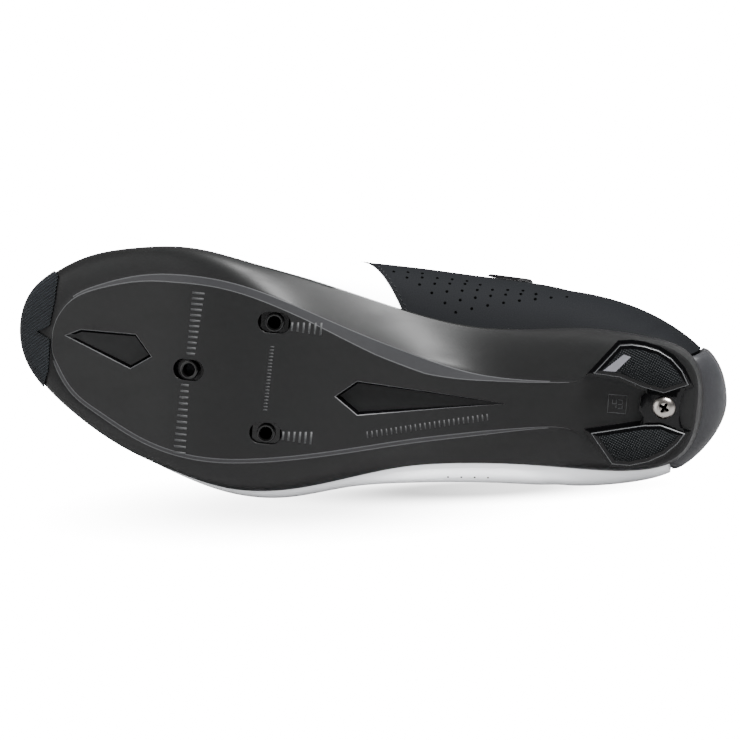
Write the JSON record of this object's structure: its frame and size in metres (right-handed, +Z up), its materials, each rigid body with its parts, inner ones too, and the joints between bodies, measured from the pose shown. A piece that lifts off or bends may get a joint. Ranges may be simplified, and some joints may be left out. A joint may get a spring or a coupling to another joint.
{
  "type": "cycling shoe",
  "caption": "Right road cycling shoe lying on its lateral side, white upper with a dark medial quarter, stiff grey sole with sliding cleat nuts, lace dial and heel cup",
  "frame": {"origin": "centre of the bounding box's bottom face, where the shoe lies on the floor on its lateral side", "axes": "+X from the toe towards the heel along the floor, +Y from the sole towards the collar, +Z up, which is the shoe's medial side; the sole faces -Y"},
  "size_m": [0.2842, 0.1218, 0.1029],
  "materials": {
    "sole_plate": "satin",
    "upper_skin": "matte",
    "tongue_cloth": "matte",
    "insole_foam": "matte",
    "counter_shell": "satin",
    "toe_rubber": "matte",
    "heel_rubber": "gloss",
    "screw_steel": "gloss",
    "nut_steel": "satin",
    "dial_plastic": "satin",
    "guide_plastic": "satin",
    "lace_steel": "satin"
  },
  "bodies": {
    "shoe": {"outsole": "sole_plate", "upper": "upper_skin", "tongue": "tongue_cloth", "insole": "insole_foam", "heel_counter": "counter_shell", "toe_pad": "toe_rubber", "heel_pad": "heel_rubber", "heel_screw": "screw_steel", "dial_base": "dial_plastic", "dial_knob": "dial_plastic", "guide_medial_top": "guide_plastic", "guide_medial_front": "guide_plastic", "guide_lateral_mid": "guide_plastic", "guide_lateral_front": "guide_plastic", "medial_anchor": "guide_plastic", "lace": "lace_steel"},
    "nut_front": {"cleat_nut_front": "nut_steel"},
    "nut_rear_medial": {"cleat_nut_rear_medial": "nut_steel"},
    "nut_rear_lateral": {"cleat_nut_rear_lateral": "nut_steel"}
  },
  "joints": [
    {"name": "nut_front_slide", "type": "slide", "parent": "shoe", "child": "nut_front", "axis": [-0.9585, 0.2663, 0.1015], "range_m": [-0.0024, 0.0024]},
    {"name": "nut_rear_lateral_slide", "type": "slide", "parent": "shoe", "child": "nut_rear_lateral", "axis": [-0.9927, 0.0046, 0.1209], "range_m": [-0.0024, 0.0024]},
    {"name": "nut_rear_medial_slide", "type": "slide", "parent": "shoe", "child": "nut_rear_medial", "axis": [-0.9927, 0.0046, 0.1209], "range_m": [-0.0024, 0.0024]}
  ]
}
